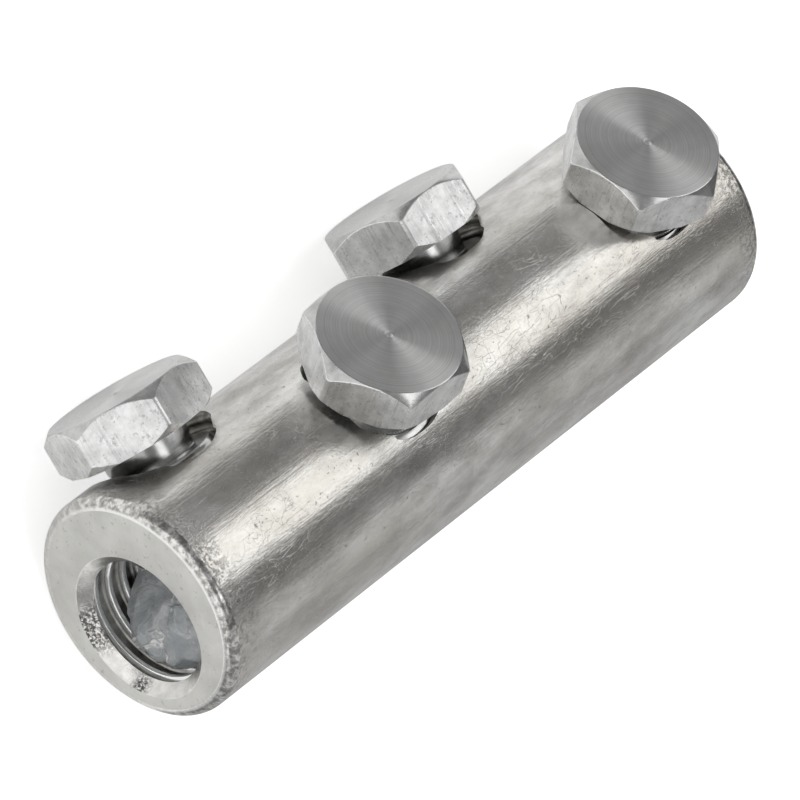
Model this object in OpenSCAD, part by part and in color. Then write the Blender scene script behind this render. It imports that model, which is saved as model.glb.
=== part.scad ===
// Shear bolt cable connector: a turned metal barrel with two blind, off-centre sockets
// for the ends of two power cables, and four shear bolts in two slanted rows.
// It lies at rest: rolled on its side until the heads of the rear row meet the floor.
// X runs along the barrel, Z is up. All sizes in millimetres.

/* [Barrel] */
// Outer diameter of the barrel
barrel_d = 21; // [20.4:0.1:21.6]
// Length of the barrel over its end faces
barrel_l = 74; // [72:0.5:76]
// Rounding of the barrel's two outer edges
edge_r = 1; // [0.8:0.1:1.6]

/* [Sockets] */
// Diameter of each cable socket, over the crests of its grooves
socket_d = 11.6; // [11:0.1:12]
// Depth of the full socket diameter from the end face
socket_depth = 32; // [30:0.5:33]
// How far the socket's axis lies from the barrel's axis, away from the bolts
socket_shift = 1.7; // [1.5:0.1:1.9]
// Radial width of the chamfer at each socket's mouth
mouth_chamfer = 1.05; // [0.6:0.05:1.2]
// Full angle of the drill point at the bottom of each socket
drill_point = 140; // [130:1:150]

/* [Bolt rows] */
// Distance between neighbouring bolts along the barrel
bolt_pitch = 18.25; // [17.8:0.05:18.6]
// Angle between the two rows, seen from the barrel's end
row_spread = 58; // [56:1:60]
// Roll of the barrel from bolts-up to where it lies
roll = 74.5; // [74:0.5:75]

/* [Shear bolts] */
// Width of the hexagon head over its flats
head_af = 13; // [12.8:0.1:13.2]
// Thickness of the head
head_h = 4.4; // [4.2:0.1:4.6]
// Diameter of the flat circle on top of the head
head_top_d = 12.9; // [12:0.1:13]
// Diameter of the head's bearing face
head_base_d = 13.4; // [12.6:0.1:13.8]
// Outer diameter of the bolt's thread
thread_d = 11.76; // [11.7:0.01:11.8]
// Diameter of the tapped hole that the bolt runs in
hole_d = 11.9; // [11.86:0.01:11.96]
// Neck diameter at the head, where the neck is thickest
neck_top_d = 8; // [7.8:0.1:8.2]
// Neck diameter at the shear plane, where the head breaks off
neck_low_d = 7.5; // [6.8:0.1:7.7]
// Length of the neck
neck_h = 2.4; // [2.2:0.1:2.6]
// Chamfer at both ends of the thread
thread_chamfer = 0.6; // [0.4:0.1:0.8]
// Diameter of the plain point that presses on the cable
point_d = 8.4; // [8:0.1:8.8]
// Length of the plain point
point_h = 1.6; // [1.2:0.1:1.8]
// Length of the bolt from the top of the head to the end of the point
bolt_l = 15.6; // [15.4:0.1:15.8]

/* [Hidden] */

// each bolt: place along the barrel in pitches, row (+1 rear, -1 front),
// height of the head's top over the barrel's axis, turn of the hexagon
bolt_1 = [-1.5, 1, 15.75, 14.2];
bolt_2 = [-0.5, -1, 15.5, 56.8];
bolt_3 = [0.5, 1, 15.1, 50.8];
bolt_4 = [1.5, -1, 14.95, 35];

// the barrel's axis stands this far back, so that the part's middle is over the origin
side_shift = -3.16;
// the tapped holes end this far above the barrel's axis, inside the socket
hole_end = 1;
nub_d = 0.8;
nub_h = 0.12;
over = 0.2;

barrel_r = barrel_d / 2;
socket_r = socket_d / 2;
head_r = head_af / sqrt(3);
metal = [0.74, 0.73, 0.71];
bolt_metal = [0.8, 0.8, 0.8];

// from bolts-up about the barrel's own axis to where the connector lies
module lying() {
    translate([0, side_shift, barrel_r])
        rotate([-roll, 0, 0])
            children();
}

// the frame of one bolt: its axis is Z and the barrel's axis passes through the origin
module in_row(b) {
    rotate([-b[1] * row_spread / 2, 0, 0])
        translate([b[0] * bolt_pitch, 0, 0])
            children();
}

// what the edge rounding takes off at the +X end
module edge_waste() {
    translate([barrel_l / 2 - edge_r, 0, 0])
        rotate([0, 90, 0])
            rotate_extrude($fn = 120)
                translate([barrel_r - edge_r, 0])
                    difference() {
                        square([edge_r + over, edge_r + over]);
                        circle(r = edge_r, $fn = 64);
                    }
}

// one socket at the +X end: chamfered mouth, straight bore, drill point
module socket() {
    face = barrel_l / 2;
    floor_x = face - socket_depth;
    tip = socket_r / tan(drill_point / 2);
    translate([0, 0, -socket_shift])
        rotate([0, 90, 0]) {
            translate([0, 0, floor_x])
                cylinder(r = socket_r, h = socket_depth + over, $fn = 96);
            translate([0, 0, floor_x - tip])
                cylinder(r1 = 0, r2 = socket_r, h = tip, $fn = 96);
            translate([0, 0, face - mouth_chamfer])
                cylinder(r1 = socket_r, r2 = socket_r + mouth_chamfer + over,
                         h = mouth_chamfer + over, $fn = 96);
        }
}

// a tapped hole from the barrel's skin into the socket
module bolt_hole(b) {
    in_row(b)
        translate([0, 0, hole_end])
            cylinder(d = hole_d, h = barrel_r, $fn = 96);
}

module barrel() {
    color(metal)
        lying()
            difference() {
                rotate([0, 90, 0])
                    cylinder(r = barrel_r, h = barrel_l, center = true, $fn = 120);
                edge_waste();
                mirror([1, 0, 0])
                    edge_waste();
                socket();
                mirror([1, 0, 0])
                    socket();
                bolt_hole(bolt_1);
                bolt_hole(bolt_2);
                bolt_hole(bolt_3);
                bolt_hole(bolt_4);
            }
}

// half section of the head's turned outline: both chamfers cut the hexagon's corners
module head_outline() {
    top = head_r - head_top_d / 2;
    base = head_r - head_base_d / 2;
    polygon([
        [0, 0],
        [head_top_d / 2, 0],
        [head_r + over, -top - over],
        [head_r + over, base + over - head_h],
        [head_base_d / 2, -head_h],
        [0, -head_h]
    ]);
}

// half section of neck, thread and point, from inside the head downwards
module stem_outline() {
    shoulder = -head_h - neck_h;
    thread_r = thread_d / 2;
    point_top = point_h - bolt_l;
    run_out = thread_r - point_d / 2;
    tip = 0.4;
    polygon([
        [0, over - head_h],
        [neck_top_d / 2, over - head_h],
        [neck_top_d / 2, -head_h],
        [neck_low_d / 2, shoulder],
        [thread_r - thread_chamfer, shoulder],
        [thread_r, shoulder - thread_chamfer],
        [thread_r, point_top + run_out * 0.7],
        [point_d / 2, point_top],
        [point_d / 2, tip - bolt_l],
        [point_d / 2 - tip, -bolt_l],
        [0, -bolt_l]
    ]);
}

// one bolt, turned from hexagon bar in one piece: the top of its head at Z = 0
module shear_bolt(b) {
    color(bolt_metal)
        lying()
            in_row(b)
                translate([0, 0, b[2]])
                    rotate([0, 0, b[3]])
                        union() {
                            intersection() {
                                translate([0, 0, -head_h])
                                    cylinder(r = head_r, h = head_h, $fn = 6);
                                rotate_extrude($fn = 96)
                                    head_outline();
                            }
                            rotate_extrude($fn = 96)
                                stem_outline();
                            cylinder(d = nub_d, h = nub_h, $fn = 32);
                        }
}

module shear_bolt_1() { shear_bolt(bolt_1); }
module shear_bolt_2() { shear_bolt(bolt_2); }
module shear_bolt_3() { shear_bolt(bolt_3); }
module shear_bolt_4() { shear_bolt(bolt_4); }

barrel();
shear_bolt_1();
shear_bolt_2();
shear_bolt_3();
shear_bolt_4();
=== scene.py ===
import bpy, bmesh, math
from mathutils import Matrix, Vector, noise


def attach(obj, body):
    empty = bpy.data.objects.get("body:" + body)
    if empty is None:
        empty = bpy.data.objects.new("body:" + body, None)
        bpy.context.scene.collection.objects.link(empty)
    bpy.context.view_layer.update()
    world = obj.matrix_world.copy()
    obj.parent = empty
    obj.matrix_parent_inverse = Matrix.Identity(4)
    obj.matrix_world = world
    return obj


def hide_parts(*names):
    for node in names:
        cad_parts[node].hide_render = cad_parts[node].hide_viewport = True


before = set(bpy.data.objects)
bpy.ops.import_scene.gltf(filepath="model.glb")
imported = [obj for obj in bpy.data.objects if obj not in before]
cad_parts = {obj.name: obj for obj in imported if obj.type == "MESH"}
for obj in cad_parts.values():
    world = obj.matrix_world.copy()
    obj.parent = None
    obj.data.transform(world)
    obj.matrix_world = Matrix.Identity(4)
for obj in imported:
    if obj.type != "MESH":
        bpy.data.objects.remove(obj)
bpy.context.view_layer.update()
scene = bpy.context.scene

# ---------------------------------------------------------------- sizes, in metres
MM = 0.001
# barrel
R = 10.5 * MM                    # outer radius
HALF = 37.0 * MM                 # half its length
EDGE = 1.0 * MM                  # rounding of the ends
SR = 5.8 * MM                    # socket radius
SHIFT = 1.7 * MM                 # the sockets' offset, away from the bolts
DEPTH = 32.0 * MM                # socket depth, to the drill point
DRILL_HALF_ANGLE = 70            # degrees
MOUTH = 1.05 * MM                # mouth chamfer
GROOVE = 0.62 * MM               # depth of the grooves in the socket wall
G_PITCH = 1.8 * MM
GROOVED = 13.0 * MM              # how far in the grooves run
SPREAD = math.radians(29)        # lean of each row of bolts from the plane between them
ROLL = math.radians(74.5)        # how far the barrel is rolled as it lies
# tapped holes, measured from the barrel's axis along the hole
HOLE_R = 5.95 * MM
HOLE_LOW = 1.0 * MM
HOLE_TOP = 11.4 * MM
TAP_DEEP = 0.28 * MM
T_PITCH = 1.25 * MM
# bolts, measured from the head's top
FLAT_R = 6.5 * MM                # half the width over the flats
CORNER_R = (13 / math.sqrt(3) - 0.075) * MM   # the hexagon's corners, lightly broken
TOP_R = 6.45 * MM                # where the top chamfer starts
BASE_R = 6.7 * MM                # where the chamfer under the head ends
HEAD_H = 4.4 * MM
THREAD_TOP = 6.84 * MM
THREAD_END = 13.2 * MM
THREAD_START_R = 5.28 * MM       # the thread's crest grows from this
THREAD_GROWS = 0.6 * MM          # by this much
THREAD_DEEP = 0.62 * MM
# turned outlines, as radius and height in mm with the head's top at 0
CROWN = ((0.16, 0.12), (0.32, 0.08), (0.42, 0.02), (0.6, 0.0), (2.0, 0.0), (4.0, 0.0),
         (6.0, 0.0), (6.38, 0.0))
NECK = ((4.2, -4.4), (4.05, -4.44), (4.0, -4.55), (3.92, -5.6), (3.78, -6.6), (3.76, -6.74),
        (3.86, -6.8), (5.2, -6.8), (5.28, -6.84))
POINT = ((5.88, -13.2), (5.4, -13.3), (4.2, -14.0), (4.2, -15.2), (3.8, -15.6))
GREASE_BACK = 12 * MM            # how far in the grease reaches
LYING = Matrix.Translation((0, -3.16 * MM, R)) @ Matrix.Rotation(-ROLL, 4, "X")
# name, place along the barrel, row, height of the head's top over the axis, turn of the hexagon
BOLTS = [
    ("shear_bolt_1", -27.375, 1, 15.75, 14.2),
    ("shear_bolt_2", -9.125, -1, 15.5, 56.8),
    ("shear_bolt_3", 9.125, 1, 15.1, 50.8),
    ("shear_bolt_4", 27.375, -1, 14.95, 35.0),
]
# material slots of the barrel and of a bolt
SKIN, FACE, ROUNDING, WALL, CHAMFER = range(5)
TOP, SIDE, TURNED = range(3)


def row_frame(x, row):
    """Where a bolt's own axes go: the origin on the barrel's axis, Z out along the hole."""
    return LYING @ Matrix.Rotation(-row * SPREAD, 4, "X") @ Matrix.Translation((x * MM, 0, 0))


# ---------------------------------------------------------------- mesh helpers
def link_object(name, bm, *mats):
    me = bpy.data.meshes.new(name)
    bm.to_mesh(me)
    bm.free()
    ob = bpy.data.objects.new(name, me)
    scene.collection.objects.link(ob)
    for m in mats:
        me.materials.append(m)
    return ob


def new_object(name, bm, sharp, *mats):
    """An object with smooth shading, except over edges sharper than so many degrees."""
    bmesh.ops.recalc_face_normals(bm, faces=bm.faces)
    limit = math.radians(sharp)
    for f in bm.faces:
        f.smooth = True
    for e in bm.edges:
        if len(e.link_faces) == 2:
            e.smooth = e.calc_face_angle(0) < limit
    return link_object(name, bm, *mats)


def lathe(bm, rings, n, close_start=True, close_end=True):
    """A skin through rings of n points: each ring is a function of the angle giving (r, h)."""
    rows = []
    for ring in rings:
        row = []
        for j in range(n):
            a = 2 * math.pi * j / n
            r, h = ring(a)
            row.append(bm.verts.new((r * math.cos(a), r * math.sin(a), h)))
        rows.append(row)
    for a, b in zip(rows, rows[1:]):
        for j in range(n):
            k = (j + 1) % n
            bm.faces.new((a[j], a[k], b[k], b[j]))
    for row, on in ((rows[0], close_start), (rows[-1], close_end)):
        if on:
            c = bm.verts.new((0, 0, sum(v.co.z for v in row) / n))
            for j in range(n):
                bm.faces.new((row[j], row[(j + 1) % n], c))


def helical(bm, n, low, high, pitch, per, sign, point, slot=0):
    """A skin whose rows follow a helix, so that a thread's crest is one clean line.

    point(h, u, a) gives the place at height h, at u (0..1) of one pitch and angle a.
    """
    count = math.ceil((high - low) / pitch * per)
    rows, clamped = {}, {}
    for i in range(-per, count + per + 1):
        row, ends = [], []
        for j in range(n):
            h = low + (i / per + sign * j / n) * pitch
            ends.append(-1 if h <= low else 1 if h >= high else 0)
            held = min(high, max(low, h))
            row.append(bm.verts.new(point(held, i / per % 1, 2 * math.pi * j / n)))
        rows[i], clamped[i] = row, ends
    for i in range(-per, count + per):
        for j in range(n):
            i2, k = (i, j + 1) if j < n - 1 else (i + sign * per, 0)
            if i2 not in rows or i2 + 1 not in rows:
                continue
            ends = {clamped[i][j], clamped[i + 1][j], clamped[i2][k], clamped[i2 + 1][k]}
            if ends in ({-1}, {1}):
                continue
            f = bm.faces.new((rows[i][j], rows[i2][k], rows[i2 + 1][k], rows[i + 1][j]))
            f.material_index = slot
    bmesh.ops.remove_doubles(bm, verts=bm.verts, dist=2e-7)
    loose = [v for v in bm.verts if not v.link_faces]
    bmesh.ops.delete(bm, geom=loose, context="VERTS")


def settle(ob, place, rings=False):
    """Bakes a piece's place into its points, and keeps its own coordinates for its materials."""
    me = ob.data
    own = me.attributes.new("rest_place", "FLOAT_VECTOR", "POINT")
    turn = place.to_3x3()
    for v in me.vertices:
        own.data[v.index].vector = v.co
    if rings:
        way = me.attributes.new("ring_way", "FLOAT_VECTOR", "POINT")
        for v in me.vertices:
            d = Vector((v.co.x, v.co.y, 0))
            d = d.normalized() if d.length > 1e-6 else Vector((1, 0, 0))
            way.data[v.index].vector = turn @ d
    me.transform(place)


def apply_modifiers(ob):
    """Swaps the object's mesh for its evaluated one."""
    deps = bpy.context.evaluated_depsgraph_get()
    me = bpy.data.meshes.new_from_object(ob.evaluated_get(deps))
    old = ob.data
    ob.modifiers.clear()
    ob.data = me
    bpy.data.meshes.remove(old)


def cut(ob, cutters):
    """Takes each cutter away from the object, and removes the cutters."""
    for c in cutters:
        m = ob.modifiers.new("cut", "BOOLEAN")
        m.operation = "DIFFERENCE"
        m.solver = "EXACT"
        m.object = c
        apply_modifiers(ob)
    for c in cutters:
        me = c.data
        bpy.data.objects.remove(c)
        bpy.data.meshes.remove(me)


def mark_sharp(ob, degrees):
    """Smooth shading after a cut, with sharp edges over the given angle."""
    bm = bmesh.new()
    bm.from_mesh(ob.data)
    bmesh.ops.remove_doubles(bm, verts=bm.verts, dist=1e-7)
    limit = math.radians(degrees)
    for f in bm.faces:
        f.smooth = True
    for e in bm.edges:
        e.smooth = len(e.link_faces) == 2 and e.calc_face_angle(0) < limit
    bm.to_mesh(ob.data)
    bm.free()


# ---------------------------------------------------------------- materials
class Nodes:
    """Small shorthand for building one node material."""

    def __init__(self, name):
        self.mat = bpy.data.materials.new(name)
        self.mat.use_nodes = True
        self.t = self.mat.node_tree
        self.t.nodes.clear()
        self.out = self.t.nodes.new("ShaderNodeOutputMaterial")
        self.coord = self.attribute("rest_place")

    def node(self, kind, **values):
        n = self.t.nodes.new("ShaderNode" + kind)
        for key, v in values.items():
            if hasattr(n, key):
                setattr(n, key, v)
        return n

    def attribute(self, name):
        a = self.t.nodes.new("ShaderNodeAttribute")
        a.attribute_name = name
        return a.outputs["Vector"]

    def link(self, a, b):
        self.t.links.new(a, b)

    def put(self, socket, v):
        if isinstance(v, bpy.types.NodeSocket):
            self.link(v, socket)
        else:
            socket.default_value = v

    def scaled(self, sx, sy, sz, rot=(0, 0, 0)):
        m = self.node("Mapping")
        m.inputs["Scale"].default_value = (sx, sy, sz)
        m.inputs["Rotation"].default_value = rot
        self.link(self.coord, m.inputs["Vector"])
        return m.outputs["Vector"]

    def noise(self, vec, scale, detail=3.0, rough=0.55, distort=0.0):
        n = self.node("TexNoise")
        self.link(vec, n.inputs["Vector"])
        n.inputs["Scale"].default_value = scale
        n.inputs["Detail"].default_value = detail
        n.inputs["Roughness"].default_value = rough
        n.inputs["Distortion"].default_value = distort
        return n.outputs["Fac"]

    def ramp(self, v, *stops):
        """Maps a value through (position, grey or colour) stops."""
        n = self.node("ValToRGB")
        e = n.color_ramp.elements
        while len(e) < len(stops):
            e.new(0.5)
        for el, (pos, c) in zip(e, stops):
            el.position = pos
            el.color = (c, c, c, 1) if isinstance(c, (int, float)) else (*c, 1)
        self.link(v, n.inputs["Fac"])
        return n.outputs["Color"]

    def math(self, op, a, b=0.0, c=None):
        n = self.node("Math", operation=op)
        self.put(n.inputs[0], a)
        self.put(n.inputs[1], b)
        if c is not None:
            self.put(n.inputs[2], c)
        return n.outputs[0]

    def add(self, a, b):
        return self.math("ADD", a, b)

    def sub(self, a, b):
        return self.math("SUBTRACT", a, b)

    def mul(self, a, b):
        return self.math("MULTIPLY", a, b)

    def xyz(self):
        """The piece's own X, Y and Z, each as a value."""
        s = self.node("SeparateXYZ")
        self.link(self.coord, s.inputs[0])
        return s.outputs[0], s.outputs[1], s.outputs[2]

    def mix(self, fac, a, b):
        n = self.node("Mix", data_type="RGBA")
        for socket, v in ((n.inputs[0], fac), (n.inputs[6], a), (n.inputs[7], b)):
            if isinstance(v, tuple) and len(v) == 3:
                v = (*v, 1)
            self.put(socket, v)
        return n.outputs[2]

    def bump(self, height, strength, distance):
        n = self.node("Bump")
        n.inputs["Strength"].default_value = strength
        n.inputs["Distance"].default_value = distance
        self.link(height, n.inputs["Height"])
        return n.outputs["Normal"]

    def surface(self, **values):
        p = self.node("BsdfPrincipled")
        for key, v in values.items():
            key = key.replace("_", " ")
            if isinstance(v, tuple) and p.inputs[key].type == "RGBA":
                v = (*v, 1)
            self.put(p.inputs[key], v)
        self.link(p.outputs["BSDF"], self.out.inputs["Surface"])
        return self.mat


def hair_lines(n, scale, rot, width):
    """Thin wandering lines: where a stretched noise crosses its middle value."""
    v = n.noise(n.scaled(*scale, rot=rot), 1.0, 2.0, 0.5, 0.4)
    d = n.math("ABSOLUTE", n.sub(v, 0.5))
    return n.ramp(d, (0.0, 1.0), (width, 0.0))


def lying_up(n, y, z):
    """How far a place is up the photo, from the own y and z: the barrel lies rolled by ROLL."""
    return n.add(n.mul(y, math.cos(ROLL)), n.mul(z, math.sin(ROLL)))


def lying_right(n, y, z):
    """How far a place is to the photo's right, along the end face."""
    return n.sub(n.mul(z, math.cos(ROLL)), n.mul(y, math.sin(ROLL)))


def barrel_skin():
    """Tinned metal: mottling, fine grain, drawn streaks, flecks, hair scratches, scuffed ends."""
    n = Nodes("barrel_tinned")
    c = n.coord
    x, y, _ = n.xyz()
    stains = n.noise(n.scaled(0.45, 1, 1), 300, 6.0, 0.65)
    broad = n.noise(n.scaled(0.3, 1, 1), 110, 3.0, 0.5)
    streaks = n.noise(n.scaled(0.018, 1, 1), 1500, 5.0, 0.7)
    grain = n.noise(n.scaled(0.7, 1, 1), 4600, 3.0, 0.75)
    lumps = n.noise(n.scaled(0.5, 1, 1), 1300, 3.0, 0.6)
    specks = n.ramp(n.noise(c, 2700, 3.0, 0.75), (0.645, 0.0), (0.70, 1.0))
    where = n.ramp(n.noise(c, 150, 2.0, 0.5), (0.46, 0.0), (0.58, 1.0))
    lines = n.mul(hair_lines(n, (260, 900, 900), (0.2, 0.35, 0.5), 0.005), where)
    lines2 = n.mul(hair_lines(n, (700, 240, 500), (0.5, -0.3, 0.9), 0.004), where)
    col = n.ramp(stains, (0.36, (0.43, 0.422, 0.404)), (0.48, (0.59, 0.582, 0.562)),
                 (0.56, (0.71, 0.703, 0.686)), (0.68, (0.83, 0.826, 0.812)))
    lower = n.ramp(n.math("MULTIPLY_ADD", y, -60.0, 0.1), (0.0, 0.15), (0.5, 0.9))
    brown = n.mul(n.ramp(broad, (0.40, 0.1), (0.60, 0.8)), lower)
    col = n.mix(brown, col, (0.56, 0.535, 0.485))
    scuffed_length = 4 * MM
    past = n.mul(n.sub(n.math("ABSOLUTE", x), HALF - scuffed_length), 1 / scuffed_length)
    ends = n.ramp(past, (0.0, 0.0), (0.75, 1.0))
    scuffs = n.mul(n.ramp(n.noise(c, 2100, 4.0, 0.75), (0.50, 0.0), (0.60, 1.0)), ends)
    col = n.mix(n.mul(scuffs, 0.6), col, (0.20, 0.195, 0.185))
    col = n.mix(n.mul(specks, 0.55), col, (0.17, 0.16, 0.15))
    col = n.mix(n.mul(lines, 0.45), col, (0.92, 0.92, 0.90))
    rough = n.add(n.ramp(stains, (0.3, 0.21), (0.7, 0.12)),
                  n.ramp(grain, (0.3, 0.0), (0.7, 0.10)))
    h = n.add(n.mul(streaks, 1.1), n.mul(grain, 0.6))
    h = n.add(h, n.mul(stains, 1.1))
    h = n.add(h, n.mul(lumps, 0.8))
    h = n.sub(h, n.mul(specks, 0.35))
    h = n.sub(h, n.mul(scuffs, 0.8))
    h = n.sub(h, n.mul(n.add(lines, lines2), 0.3))
    return n.surface(Base_Color=col, Metallic=1.0, Roughness=rough,
                     Normal=n.bump(h, 0.6, 0.04 * MM))


def barrel_face():
    """The flat end: pale and fine-grained, with flecks and a few thin scratches."""
    n = Nodes("barrel_end_face")
    c = n.coord
    cloud = n.noise(c, 300, 4.0, 0.6)
    fine = n.noise(c, 5200, 2.0, 0.6)
    specks = n.ramp(n.noise(c, 1900, 2.0, 0.6), (0.645, 0.0), (0.69, 1.0))
    lines = hair_lines(n, (120, 500, 170), (0.7, 0.1, 0.2), 0.0035)
    col = n.ramp(cloud, (0.35, (0.60, 0.595, 0.567)), (0.65, (0.70, 0.695, 0.664)))
    col = n.mix(n.mul(specks, 0.45), col, (0.36, 0.35, 0.33))
    col = n.mix(n.mul(lines, 0.22), col, (0.95, 0.95, 0.94))
    h = n.add(n.mul(fine, 0.4), n.mul(cloud, 0.6))
    h = n.sub(h, n.mul(specks, 0.3))
    return n.surface(Base_Color=col, Metallic=0.75, Roughness=0.52,
                     Normal=n.bump(h, 0.35, 0.02 * MM))


def barrel_mouth():
    """The chamfer at a socket's mouth: bright, with two dark mottled stretches."""
    n = Nodes("barrel_mouth_chamfer")
    c = n.coord
    _, own_y, own_z = n.xyz()
    y, z = n.mul(own_y, 1 / MM), n.mul(n.add(own_z, SHIFT), 1 / MM)
    up, right = lying_up(n, y, z), lying_right(n, y, z)
    left = n.ramp(n.mul(n.math("ABSOLUTE", n.add(up, 0.4)), 0.3), (0.40, 1.0), (0.85, 0.0))
    left = n.mul(left, n.math("LESS_THAN", right, 0.0))
    low = n.add(n.math("ABSOLUTE", n.add(up, 5.8)), n.math("ABSOLUTE", n.add(right, 3.0)))
    low = n.ramp(n.mul(low, 0.6), (0.3, 1.0), (0.9, 0.0))
    near = n.math("MAXIMUM", left, low)
    mottle = n.noise(c, 3600, 3.0, 0.75)
    cloud = n.noise(c, 800, 3.0, 0.6)
    dark = n.mul(n.ramp(mottle, (0.46, 1.0), (0.60, 0.0)), near)
    col = n.ramp(cloud, (0.35, (0.66, 0.65, 0.625)), (0.65, (0.84, 0.832, 0.81)))
    col = n.mix(dark, col, (0.09, 0.088, 0.085))
    h = n.add(mottle, n.mul(cloud, 0.7))
    return n.surface(Base_Color=col, Metallic=1.0, Roughness=0.22,
                     Normal=n.bump(h, 0.5, 0.04 * MM))


def barrel_edge():
    """The rounding: a bright line beside the face, which is a painted highlight, and wear; both
    grow to the right as seen, the upper side as the barrel lies.
    """
    n = Nodes("barrel_edge_wear_and_highlight")
    c = n.coord
    x, y, z = n.xyz()
    past = n.mul(n.sub(n.math("ABSOLUTE", x), HALF - EDGE), 1 / EDGE)
    # painted highlight: a thin bright line where the rounding meets the face
    rim_highlight = n.ramp(past, (0.0, 0.0), (0.93, 0.0), (0.985, 0.9))
    dents = n.noise(c, 1500, 4.0, 0.7)
    grain = n.noise(c, 6000, 3.0, 0.8)
    # real wear for the dents and their bumps, and the mask of the painted highlight; it grows
    # towards the upper side
    upper_wear_and_highlight = n.ramp(n.math("MULTIPLY_ADD", lying_right(n, y, z), 60.0, 0.5), (0.2, 0.25), (0.6, 1.0))
    col = n.ramp(dents, (0.40, (0.24, 0.235, 0.225)), (0.50, (0.50, 0.49, 0.475)),
                 (0.60, (0.80, 0.795, 0.775)))
    col = n.mix(n.math("MULTIPLY_ADD", upper_wear_and_highlight, -0.85, 0.95), col, (0.60, 0.59, 0.565))
    # the painted highlight line, shown only on the upper side
    col = n.mix(n.mul(rim_highlight, upper_wear_and_highlight), col, (0.92, 0.915, 0.90))
    h = n.add(dents, n.mul(grain, 0.35))
    return n.surface(Base_Color=col, Metallic=1.0,
                     Roughness=n.ramp(grain, (0.3, 0.12), (0.7, 0.26)),
                     Normal=n.bump(n.mul(h, upper_wear_and_highlight), 0.45, 0.05 * MM))


def barrel_bore():
    """The grooved wall: smoother crests painted near white, a painted highlight, over duller
    grooves painted darker, painted shade mottled with dirt.
    """
    n = Nodes("barrel_socket_wall")
    _, y, own_z = n.xyz()
    z = n.add(own_z, SHIFT)
    r = n.math("SQRT", n.add(n.mul(y, y), n.mul(z, z)))
    deep = n.ramp(n.mul(n.sub(r, SR), 1 / GROOVE), (0.30, 0.0), (0.85, 1.0))
    dirt = n.noise(n.coord, 700, 4.0, 0.6)
    fine = n.noise(n.scaled(3.0, 1, 1), 1800, 3.0, 0.6)
    # painted shade: the grooves are darker, mottled with dirt
    groove_shade_and_dirt = n.ramp(dirt, (0.35, (0.28, 0.27, 0.25)), (0.62, (0.55, 0.54, 0.515)))
    # painted highlight: the crests are near white
    col = n.mix(deep, (0.95, 0.945, 0.93), groove_shade_and_dirt)
    return n.surface(Base_Color=col, Metallic=1.0,
                     Roughness=n.math("MULTIPLY_ADD", deep, 0.2, 0.14),
                     Normal=n.bump(fine, 0.4, 0.02 * MM))


def bolt_top():
    """The faced top of a head: turning rings, and a highlight that fans out along the radius."""
    n = Nodes("bolt_turned_top")
    c = n.coord
    x, y, _ = n.xyz()
    rad = n.math("SQRT", n.add(n.mul(x, x), n.mul(y, y)))
    ring_vec = n.node("CombineXYZ")
    n.link(rad, ring_vec.inputs[0])
    rings = n.noise(ring_vec.outputs[0], 5200, 3.0, 0.7)
    wide = n.noise(ring_vec.outputs[0], 1300, 2.0, 0.6)
    cloud = n.noise(c, 500, 3.0, 0.6)
    col = n.ramp(rings, (0.3, (0.54, 0.54, 0.535)), (0.7, (0.78, 0.78, 0.775)))
    col = n.mix(n.ramp(cloud, (0.4, 0.0), (0.7, 0.3)), col, (0.48, 0.48, 0.475))
    h = n.add(rings, n.mul(wide, 0.8))
    h = n.add(h, n.mul(n.noise(c, 1500, 3.0, 0.7), 0.12))
    return n.surface(Base_Color=col, Metallic=1.0, Roughness=0.38, Anisotropic=0.97,
                     Tangent=n.attribute("ring_way"), Normal=n.bump(h, 0.35, 0.03 * MM))


def bolt_side():
    """The hexagon's flats: drawn lines along the bolt, clouds and pits."""
    n = Nodes("bolt_drawn_side")
    c = n.coord
    drawn = n.noise(n.scaled(1, 1, 0.05), 2600, 4.0, 0.65)
    cloud = n.noise(c, 520, 5.0, 0.7)
    pits = n.ramp(n.noise(c, 2400, 3.0, 0.75), (0.58, 0.0), (0.66, 1.0))
    col = n.ramp(cloud, (0.35, (0.60, 0.60, 0.595)), (0.65, (0.90, 0.90, 0.895)))
    dark_lines = n.ramp(n.noise(n.scaled(1, 1, 0.06), 1500, 3.0, 0.7), (0.60, 0.0), (0.70, 0.30))
    col = n.mix(dark_lines, col, (0.26, 0.26, 0.26))
    col = n.mix(n.mul(pits, 0.5), col, (0.30, 0.30, 0.30))
    h = n.add(drawn, n.mul(cloud, 0.8))
    h = n.sub(h, n.mul(pits, 0.4))
    return n.surface(Base_Color=col, Metallic=1.0,
                     Roughness=n.ramp(drawn, (0.3, 0.24), (0.7, 0.38)),
                     Normal=n.bump(h, 0.5, 0.03 * MM))


def bolt_turned():
    """The chamfers, neck and thread: turned, with fine lines round the bolt."""
    n = Nodes("bolt_turned_stem")
    lines = n.noise(n.scaled(0.03, 0.03, 1), 5200, 3.0, 0.6)
    cloud = n.noise(n.coord, 700, 3.0, 0.6)
    col = n.ramp(cloud, (0.35, (0.45, 0.45, 0.443)), (0.65, (0.63, 0.63, 0.622)))
    return n.surface(Base_Color=col, Metallic=1.0, Roughness=0.22,
                     Normal=n.bump(lines, 0.3, 0.02 * MM))


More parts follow.
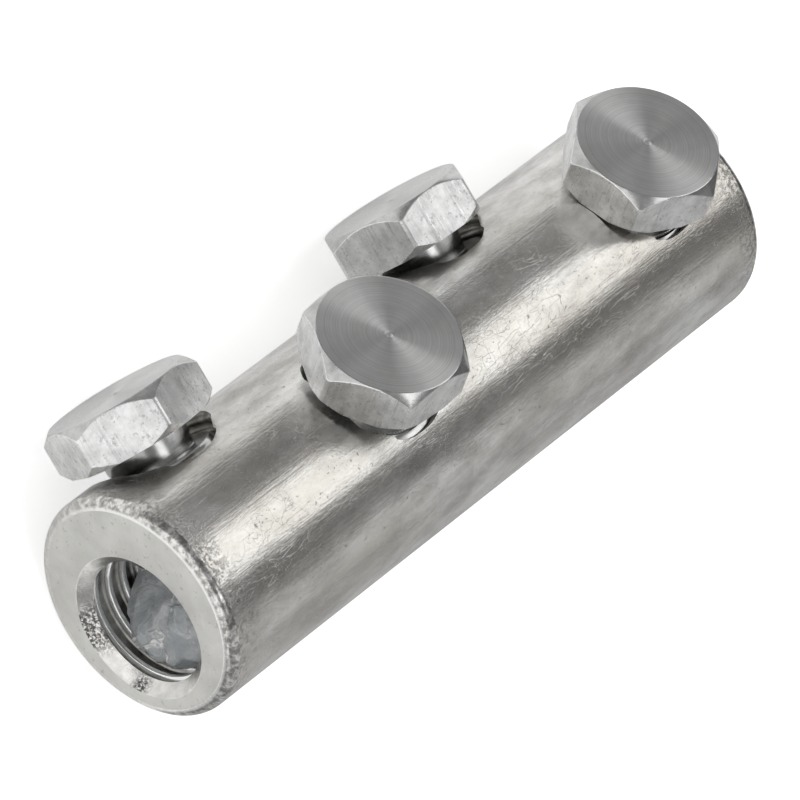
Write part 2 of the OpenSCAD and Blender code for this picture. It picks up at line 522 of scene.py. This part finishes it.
def grease_mat():
    """Clear blue-grey jelly with folds; along the folds and thin lines it is painted pale, painted
    highlights as glints, and there it is less clear.
    """
    n = Nodes("contact_grease")
    c = n.coord
    cloud = n.noise(c, 420, 4.0, 0.6, 0.6)
    folds = n.noise(c, 190, 3.0, 0.55, 0.7)
    # fold lines: real folds in the bump, and the places of painted highlights in the colour
    fold_and_glint = n.ramp(n.math("ABSOLUTE", n.sub(folds, 0.5)), (0.0, 1.0), (0.010, 0.7), (0.035, 0.0))
    fold_and_glint = n.mul(fold_and_glint, n.ramp(cloud, (0.44, 0.0), (0.54, 1.0)))
    glint_lines = hair_lines(n, (520, 520, 520), (0.3, 0.2, 0.1), 0.014)
    # painted highlights: pale glints along the folds and thin lines
    pale = n.math("MAXIMUM", n.mul(glint_lines, 0.2), n.mul(fold_and_glint, 0.9))
    col = n.ramp(cloud, (0.35, (0.60, 0.645, 0.675)), (0.65, (0.90, 0.925, 0.94)))
    col = n.mix(pale, col, (1.0, 0.98, 0.96))
    h = n.add(cloud, n.mul(fold_and_glint, 0.5))
    return n.surface(Base_Color=col, Roughness=0.08, IOR=1.5, Specular_IOR_Level=1.0,
                     Transmission_Weight=n.math("MULTIPLY_ADD", pale, -0.5, 0.52),
                     Normal=n.bump(h, 0.8, 0.4 * MM))


# in the order of the material slots
BARREL_MATS = barrel_skin(), barrel_face(), barrel_edge(), barrel_bore(), barrel_mouth()
BOLT_MATS = bolt_top(), bolt_side(), bolt_turned()
M_GREASE = grease_mat()


# ---------------------------------------------------------------- barrel
def smooth(t):
    """An S curve from 0 at t = 0 to 1 at t = 1, level beyond both."""
    t = min(1.0, max(0.0, t))
    return t * t * (3 - 2 * t)


def thread_depth(u, crest):
    """0 on the crest of a thread, 1 at its root, over one pitch u = 0..1."""
    away = abs((u + 0.5) % 1.0 - 0.5)
    return smooth((away - crest / 2) / 0.22)


def ring_row(bm, n, centre_z, radius, x):
    """A ring of the barrel: the angle runs from the bisector (Z) towards Y."""
    row = []
    for j in range(n):
        a = 2 * math.pi * j / n
        row.append(bm.verts.new((x, radius * math.sin(a), centre_z + radius * math.cos(a))))
    return row


def skin(bm, a, b, slot=0):
    """Faces between two rings."""
    n = len(a)
    for j in range(n):
        k = (j + 1) % n
        f = bm.faces.new((a[j], a[k], b[k], b[j]))
        f.material_index = slot


def rounding(bm, n, side, angles):
    """Rings over the rounded edge of one end; at angle 0 it meets the flat face."""
    return [ring_row(bm, n, 0, R - EDGE + EDGE * math.sin(a),
                     side * (HALF - EDGE + EDGE * math.cos(a))) for a in angles]


def socket(bm, side, n, edge):
    """One socket, in from the edge ring: face, mouth chamfer, grooves, plain bore, drill point.

    side is -1 at the near end.
    """
    rows = [edge]
    for r, d in ((SR + MOUTH, 0), (SR + MOUTH - 0.1 * MM, 0.06 * MM),
                 (SR + 0.03 * MM, MOUTH - 0.03 * MM), (SR, MOUTH)):
        rows.append(ring_row(bm, n, -SHIFT, r, side * (HALF - d)))
    tip = SR / math.tan(math.radians(DRILL_HALF_ANGLE))
    deep = []
    for d in (GROOVED, 18 * MM, 24 * MM, DEPTH):
        deep.append(ring_row(bm, n, -SHIFT, SR, side * (HALF - d)))
    for k in (0.66, 0.33, 0.06):
        deep.append(ring_row(bm, n, -SHIFT, SR * k, side * (HALF - DEPTH - tip * (1 - k))))
    for k, (p, q) in enumerate(zip(rows, rows[1:])):
        skin(bm, p, q, CHAMFER if k else FACE)
    for p, q in zip(deep, deep[1:]):
        skin(bm, p, q, WALL)
    end = bm.verts.new((side * (HALF - DEPTH - tip), 0, -SHIFT))
    for j in range(n):
        bm.faces.new((deep[-1][j], deep[-1][(j + 1) % n], end)).material_index = WALL

    def wall(d, u, a):
        fade = smooth((d - MOUTH) / (0.25 * MM)) * smooth((GROOVED - d) / (1.2 * MM))
        r = SR + GROOVE * fade * thread_depth(u - 0.06, 0.16)
        return side * (HALF - d), r * math.sin(a), r * math.cos(a) - SHIFT

    helical(bm, n, MOUTH, GROOVED, G_PITCH, 20, -side, wall, WALL)


def tap(x, row):
    """The cutter of one tapped hole, in the barrel's own frame."""
    n = 72
    bm = bmesh.new()
    lathe(bm, [lambda a: (HOLE_R, HOLE_LOW)], n, close_end=False)
    lathe(bm, [lambda a: (HOLE_R, HOLE_TOP)], n, close_start=False)

    def tapped(h, u, a):
        deep = TAP_DEEP * thread_depth(u, 0.25) * smooth((h - HOLE_LOW) / MM)
        r = HOLE_R + deep * smooth((HOLE_TOP - h) / (0.2 * MM))
        return r * math.cos(a), r * math.sin(a), h

    helical(bm, n, HOLE_LOW, HOLE_TOP, T_PITCH, 10, 1, tapped)
    bmesh.ops.recalc_face_normals(bm, faces=bm.faces)
    ob = link_object("tap", bm, BARREL_MATS[WALL])
    ob.matrix_world = Matrix.Rotation(-row * SPREAD, 4, "X") @ Matrix.Translation((x * MM, 0, 0))
    return ob


def make_barrel():
    n, arc, steps = 144, 8, 96
    bm = bmesh.new()
    quarter = [math.pi / 2 * i / arc for i in range(arc + 1)]
    near = rounding(bm, n, -1, quarter)
    straight = 2 * HALF - 2 * EDGE
    middle = [ring_row(bm, n, 0, R, -HALF + EDGE + straight * i / steps) for i in range(1, steps)]
    far = rounding(bm, n, 1, quarter[::-1])
    for rings, slot in ((near, ROUNDING), (near[-1:] + middle + far[:1], SKIN), (far, ROUNDING)):
        for a, b in zip(rings, rings[1:]):
            skin(bm, a, b, slot)
    socket(bm, -1, n, near[0])
    socket(bm, 1, n, far[-1])
    bmesh.ops.recalc_face_normals(bm, faces=bm.faces)
    ob = link_object("barrel_turned", bm, *BARREL_MATS)
    cut(ob, [tap(x, row) for _, x, row, _, _ in BOLTS])
    mark_sharp(ob, 32)
    settle(ob, LYING)
    return ob


# ---------------------------------------------------------------- bolts
def hex_r(a):
    """Distance from the axis to the hexagon's edge at angle a, corners lightly broken."""
    b = (a + math.pi / 6) % (math.pi / 3) - math.pi / 6
    c = math.pi / 6 - abs(b)
    return min(FLAT_R / math.cos(c), CORNER_R)


def turned(outline):
    """Rings of a turned outline, for lathe."""
    return [lambda a, r=r, h=h: (r * MM, h * MM) for r, h in outline]


def bolt_rings():
    """The rings of crown, head and neck from the top down, and how many lie above the neck.

    Both chamfers are at 45 degrees, so on the hexagon they rise and fall with its width.
    """
    def top_edge(a):
        return -(hex_r(a) - TOP_R)

    def under(a):
        return max(0, hex_r(a) - BASE_R)

    head = turned(CROWN)
    head.append(lambda a: (TOP_R, -0.03 * MM))
    head.append(lambda a: (hex_r(a) - 0.05 * MM, top_edge(a) + 0.01 * MM))
    head.append(lambda a: (hex_r(a), top_edge(a) - 0.07 * MM))
    for k in (0.33, 0.66):
        head.append(lambda a, k=k: (hex_r(a), top_edge(a) * (1 - k) - (HEAD_H - under(a)) * k))
    head.append(lambda a: (hex_r(a), -HEAD_H + under(a) + 0.06 * MM))
    head.append(lambda a: (min(hex_r(a), max(BASE_R, hex_r(a) - 0.05 * MM)), -HEAD_H + under(a)))
    head.append(lambda a: (min(BASE_R, hex_r(a) - 0.04 * MM), -HEAD_H))
    return head + turned(NECK), len(head)


def bolt_thread(h, u, a):
    """The thread's surface at height h over the head's top: it grows from under the neck."""
    down = -THREAD_TOP - h
    crest = THREAD_START_R + THREAD_GROWS * min(1.0, down / (0.56 * MM))
    deep = THREAD_DEEP * thread_depth(u, 0.22) * smooth(down / (0.6 * MM))
    r = crest - deep * smooth((h + THREAD_END) / (0.5 * MM))
    return r * math.cos(a), r * math.sin(a), h


def make_bolt(name, x, row, top, turn):
    n, n_stem = 240, 120
    bm = bmesh.new()
    rings, head_rows = bolt_rings()
    top_rows = len(CROWN) + 1
    lathe(bm, rings, n, close_end=False)
    bm.normal_update()
    for i, f in enumerate(bm.faces):
        level = i // n
        sloping = f.calc_center_median().xy.length > 5 * MM and abs(f.normal.z) < 0.97
        if level < top_rows:
            f.material_index = TURNED if sloping else TOP
        elif all(v.co.length < 0.3 * MM for v in f.verts):
            f.material_index = TOP       # the cap of the nub, which lathe makes last
        else:
            f.material_index = SIDE if level < head_rows else TURNED
    before = set(bm.faces)
    lathe(bm, turned(POINT), n_stem, close_start=False)
    helical(bm, n_stem, -THREAD_END, -THREAD_TOP, T_PITCH, 12, 1, bolt_thread)
    for f in bm.faces:
        if f not in before:
            f.material_index = TURNED
    ob = new_object(name + "_machined", bm, 16.0, *BOLT_MATS)
    place = row_frame(x, row) @ Matrix.Translation((0, 0, top * MM))
    settle(ob, place @ Matrix.Rotation(math.radians(turn), 4, "Z"), rings=True)
    return ob


# ---------------------------------------------------------------- grease
def make_grease(name, side):
    """A jelly that fills the socket from a lumpy, sloping front."""
    bm = bmesh.new()
    n, n_rings = 72, 22
    rows = []
    for i in range(1, n_rings + 1):
        r = (SR - 0.03 * MM) * i / n_rings
        row = []
        for j in range(n):
            a = 2 * math.pi * j / n
            y, z = r * math.sin(a), r * math.cos(a)
            p = Vector((y, z, 0.31 * side)) / MM
            up = math.cos(ROLL) * y + math.sin(ROLL) * z
            left = math.sin(ROLL) * y - math.cos(ROLL) * z
            lean = (up - 0.12 * left) / MM
            deep = 2.9 + 5.2 * smooth((lean + 2.6) / 5.5)
            deep += 0.8 * noise.noise(p * 0.35) + 0.35 * noise.noise(p * 0.8 + Vector((3, 1, 7)))
            deep -= 0.25 * (1 - abs(noise.noise(p * 0.7 + Vector((9, 4, 2)))) * 2) ** 3
            deep += 0.44 * smooth((r / SR - 0.8) / 0.2)
            row.append(bm.verts.new((side * (HALF - deep * MM), y, z - SHIFT)))
        rows.append(row)
    centre = bm.verts.new((sum(v.co.x for v in rows[0]) / n, 0, -SHIFT))
    for j in range(n):
        bm.faces.new((rows[0][j], rows[0][(j + 1) % n], centre))
    for a, b in zip(rows, rows[1:]):
        skin(bm, a, b)
    back = [bm.verts.new((side * (HALF - GREASE_BACK), v.co.y, v.co.z)) for v in rows[-1]]
    skin(bm, rows[-1], back)
    bm.faces.new(back)
    ob = new_object(name, bm, 60.0, M_GREASE)
    settle(ob, LYING)
    return ob


barrel = make_barrel()
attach(barrel, "connector_barrel")
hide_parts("barrel")
for i, b in enumerate(BOLTS):
    ob = make_bolt(*b)
    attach(ob, "bolt_%d" % (i + 1))
    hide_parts(b[0])
for name, side in (("grease_1", -1), ("grease_2", 1)):
    ob = make_grease(name, side)
    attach(ob, "connector_barrel")


# ---------------------------------------------------------------- stage, light, camera
def plane(name, size, mat):
    bm = bmesh.new()
    bmesh.ops.create_grid(bm, x_segments=1, y_segments=1, size=size)
    return link_object(name, bm, mat)


def floor_mat():
    """White, with light of its own: less of it in the metal than for the camera."""
    n = Nodes("floor_white")
    d = n.node("BsdfDiffuse")
    d.inputs["Color"].default_value = (0.9, 0.9, 0.9, 1)
    path = n.node("LightPath")
    shown = n.mul(path.outputs["Is Camera Ray"], 0.60)
    seen = n.mul(path.outputs["Is Glossy Ray"], 0.28)
    e = n.node("Emission")
    n.link(n.add(shown, seen), e.inputs["Strength"])
    add = n.node("AddShader")
    n.link(d.outputs[0], add.inputs[0])
    n.link(e.outputs[0], add.inputs[1])
    n.link(add.outputs[0], n.out.inputs["Surface"])
    return n.mat


floor = plane("floor", 3.0, floor_mat())
floor.location = (0, 0, -0.02 * MM)

world = bpy.data.worlds.new("studio")
scene.world = world
world.use_nodes = True
backdrop = world.node_tree.nodes["Background"]
backdrop.inputs["Color"].default_value = (1, 1, 1, 1)
backdrop.inputs["Strength"].default_value = 0.31

MIDDLE = (0, 0, R)               # what the lights and boards face


def facing(direction, distance, along, target):
    """The place of something flat that faces the target, its width along the given line."""
    z = Vector(direction).normalized()
    x = (Vector(along) - Vector(along).dot(z) * z).normalized()
    m = Matrix((x, z.cross(x), z)).transposed().to_4x4()
    m.translation = Vector(target) + z * distance
    return m


def area(name, direction, distance, width, height, power, along=(1, 0, 0)):
    """A soft box seen from the part in a direction."""
    light = bpy.data.lights.new(name, "AREA")
    light.shape = "RECTANGLE"
    light.size = width
    light.size_y = height
    light.energy = power
    ob = bpy.data.objects.new(name, light)
    scene.collection.objects.link(ob)
    ob.matrix_world = facing(direction, distance, along, MIDDLE)
    return ob


def card(name, direction, distance, width, height, grey, along=(1, 0, 0), target=MIDDLE):
    """A grey board beside the part, which only reflections see."""
    n = Nodes(name)
    e = n.node("Emission")
    e.inputs["Color"].default_value = (grey, grey, grey, 1)
    n.link(e.outputs[0], n.out.inputs["Surface"])
    ob = plane(name, 0.5, n.mat)
    m = facing(direction, distance, along, target)
    ob.matrix_world = m @ Matrix.Diagonal((width, height, 1, 1))
    ob.visible_camera = False
    ob.visible_shadow = False
    ob.visible_diffuse = False


area("strip", (0.58, 0.22, 0.78), 0.72, 0.42, 0.44, 0.73)
area("soft_top", (0.1, 0.1, 1.0), 1.2, 1.4, 1.4, 3.6).visible_glossy = False
area("top_patch", (-0.10, -0.15, 0.98), 0.8, 0.3, 0.3, 0.42)
area("fill_front", (0.15, -0.86, 0.48), 0.9, 1.5, 0.5, 0.75)
area("end_light", (-0.93, 0.05, 0.25), 0.8, 1.3, 0.95, 3.15, along=(0, 1, 0))
card("dark_board", (0.76, -0.21, 0.61), 0.86, 1.05, 0.30, 0.205)
card("low_board", (0, 0, 1), 0.0, 0.40, 0.30, 0.50, target=(0.10, -0.17, 0.0003))
card("end_board", (0.93, -0.15, 0.32), 0.6, 0.5, 0.34, 0.16, along=(0, 1, 0))

# the camera, fitted to the outlines of the barrel, the mouth and the heads
cam_data = bpy.data.cameras.new("camera")
cam = bpy.data.objects.new("camera", cam_data)
scene.collection.objects.link(cam)
right = Vector((0.62002, -0.34373, 0.70528))
up = Vector((0.47444, 0.88021, 0.01189))
back = Vector((-0.62488, 0.32724, 0.70883))
place = Matrix((right, up, back)).transposed().to_4x4()
place.translation = (-0.39112, 0.20166, 0.45287)
cam.matrix_world = place
cam_data.lens = 325.79
cam_data.sensor_width = 36
cam_data.clip_start = 0.01
cam_data.clip_end = 20
scene.camera = cam

scene.view_settings.view_transform = "Standard"
